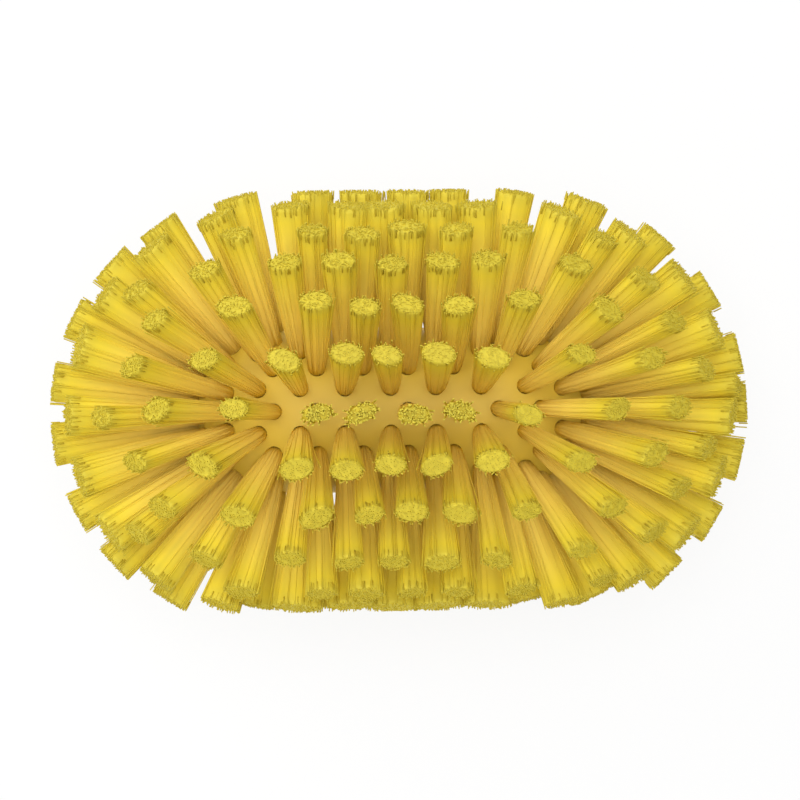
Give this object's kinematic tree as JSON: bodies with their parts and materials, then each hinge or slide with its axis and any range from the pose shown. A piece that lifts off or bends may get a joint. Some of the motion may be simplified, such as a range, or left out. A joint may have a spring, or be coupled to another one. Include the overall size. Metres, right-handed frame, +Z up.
{
  "type": "tank brush head",
  "caption": "Oval cleaning brush head: a domed block covered all over with stiff bristle tufts that fan over both ends, with a round handle socket on its back.",
  "frame": {"origin": "on the floor plane, at the middle of the bounding box: the head stands on the flat mouth of its handle socket with the bristles up", "axes": "+X along the oval, +Y across it, +Z up the dome, away from the handle; right-handed"},
  "size_m": [0.2514, 0.1514, 0.1144],
  "materials": {
    "moulding": "smooth moulded plastic with a soft sheen",
    "bristle": "stiff polyester filament, satin"
  },
  "bodies": {
    "root": {"block": "moulding", "handle_socket": "moulding", "bristle_row_ridge": "bristle", "bristle_row_back_1": "bristle", "bristle_row_back_2": "bristle", "bristle_row_back_3": "bristle", "bristle_row_back_4": "bristle", "bristle_row_back_5": "bristle", "bristle_row_back_6": "bristle", "bristle_row_front_1": "bristle", "bristle_row_front_2": "bristle", "bristle_row_front_3": "bristle", "bristle_row_front_4": "bristle", "bristle_row_front_5": "bristle", "bristle_row_front_6": "bristle", "bristle_end_left": "bristle", "bristle_end_right": "bristle"}
  },
  "joints": []
}
